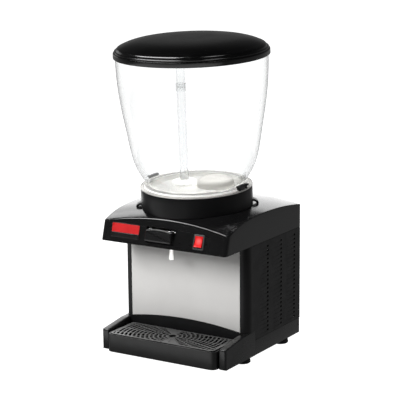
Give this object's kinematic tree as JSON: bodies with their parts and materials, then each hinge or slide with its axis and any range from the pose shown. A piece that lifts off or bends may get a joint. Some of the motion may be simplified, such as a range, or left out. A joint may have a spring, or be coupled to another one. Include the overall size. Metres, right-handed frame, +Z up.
{
  "type": "cold drink dispenser",
  "caption": "Countertop chilled drink dispenser: clear tilted bowl with lid on a domed housing, push-lever tap over a drip tray, magnetic riser pump and a cooling unit inside.",
  "frame": {"origin": "on the surface that the feet stand on, below the middle of the overall footprint", "axes": "+Z up, front with the tap towards -Y, +X to the right seen from the front"},
  "size_m": [0.3524, 0.385, 0.728],
  "materials": {
    "black_gloss": "polished",
    "fascia_black": "semi-gloss",
    "black_satin": "satin",
    "side_black": "satin paint",
    "tray_grey": "fine texture",
    "steel": "brushed",
    "hardware": "plated",
    "sheet_metal": "mill finish",
    "clear": "clear",
    "white_plastic": "semi-gloss",
    "rubber": "matte",
    "silicone": "translucent",
    "rocker_red": "translucent red",
    "badge_red": "satin enamel",
    "copper": "bare copper",
    "motor_metal": "black paint",
    "foam": "foam"
  },
  "bodies": {
    "housing": {"top_cover": "black_gloss", "fascia_plate": "fascia_black", "hood_floor": "fascia_black", "tap_housing": "fascia_black", "base_frame": "black_satin", "collar_ring": "black_satin", "neck_ring": "black_satin", "switch_bezel": "black_satin", "fan_shroud": "black_satin", "cord_gland": "black_satin", "side_panel_left": "side_black", "side_panel_right": "side_black", "rear_panel": "side_black", "splash_panel": "steel", "evaporator_pan": "steel", "foot_screws": "hardware", "panel_screws": "hardware", "rocker_pin": "hardware", "lever_pin": "hardware", "valve_spring": "hardware", "clip_pins": "hardware", "impeller_shaft": "hardware", "base_pan": "sheet_metal", "motor_bracket": "sheet_metal", "condenser_fins": "sheet_metal", "bowl": "clear", "riser_tube": "clear", "riser_sleeve": "clear", "spray_tube": "clear", "spray_cap": "clear", "spout": "white_plastic", "tap_body": "white_plastic", "tap_nut": "white_plastic", "pump_cover": "white_plastic", "thermostat": "white_plastic", "terminal_block": "white_plastic", "feet": "rubber", "compressor_mounts": "rubber", "bowl_gasket": "silicone", "badge_plate": "badge_red", "evaporator_coil": "copper", "condenser_tubes": "copper", "filter_drier": "copper", "refrigerant_tubes": "copper", "compressor": "motor_metal", "pump_motor": "motor_metal", "fan_motor": "motor_metal", "insulation": "foam"},
    "lid": {"lid": "black_gloss"},
    "lever": {"tap_lever": "fascia_black"},
    "plunger": {"valve_plunger": "white_plastic", "plunger_seals": "rubber"},
    "rocker": {"switch_rocker": "rocker_red"},
    "tray": {"drip_tray": "tray_grey"},
    "grille": {"drip_grille": "tray_grey"},
    "impeller": {"impeller": "white_plastic"},
    "magnet": {"drive_magnet": "motor_metal"},
    "fan": {"fan_blade": "black_satin"},
    "clip_right": {"bowl_clip_right": "black_satin"},
    "clip_left": {"bowl_clip_left": "black_satin"}
  },
  "joints": [
    {"name": "lid_lift", "type": "slide", "parent": "housing", "child": "lid", "axis": [0, -0.0506, 0.9987], "range_m": [0, 0.15]},
    {"name": "tap_press", "type": "hinge", "parent": "housing", "child": "lever", "pos_m": [0, -0.1352, 0.30428], "axis": [1, 0, 0], "range_deg": [0, 14]},
    {"name": "plunger_slide", "type": "slide", "parent": "housing", "child": "plunger", "axis": [0, 0.9593, -0.2823], "range_m": [0, 0.004], "stiffness_N_per_m": 300, "springref_m": -0.005, "deforming": ["valve_spring"]},
    {"name": "switch_rock", "type": "hinge", "parent": "housing", "child": "rocker", "pos_m": [0.094, -0.14011, 0.29114], "axis": [1, 0, 0], "range_deg": [0, 14]},
    {"name": "tray_slide", "type": "slide", "parent": "housing", "child": "tray", "axis": [0, -1, 0], "range_m": [0, 0.1]},
    {"name": "grille_lift", "type": "slide", "parent": "tray", "child": "grille", "axis": [0, 0, 1], "range_m": [0, 0.03]},
    {"name": "magnet_spin", "type": "hinge", "parent": "housing", "child": "magnet", "pos_m": [-0.032, -0.00075, 0.37761], "axis": [0, -0.0506, 0.9987], "continuous": true},
    {"name": "impeller_spin", "type": "hinge", "parent": "housing", "child": "impeller", "pos_m": [-0.032, -0.0013, 0.38859], "axis": [0, -0.0506, 0.9987], "continuous": true},
    {"name": "fan_spin", "type": "hinge", "parent": "housing", "child": "fan", "pos_m": [0.074, 0.09185, 0.122], "axis": [1, 0, 0], "continuous": true},
    {"name": "clip_right_swivel", "type": "hinge", "parent": "housing", "child": "clip_right", "pos_m": [0.1222, 0.01273, 0.3883], "axis": [0, -0.0506, 0.9987], "range_deg": [0, 90]},
    {"name": "clip_left_swivel", "type": "hinge", "parent": "housing", "child": "clip_left", "pos_m": [-0.1222, -0.01524, 0.38688], "axis": [0, -0.0506, 0.9987], "range_deg": [0, 90]}
  ],
  "couplings": [
    {"joint": "tap_press", "follows": "plunger_slide", "rad_per_m": 60.606},
    {"joint": "impeller_spin", "follows": "magnet_spin", "ratio": 1}
  ]
}
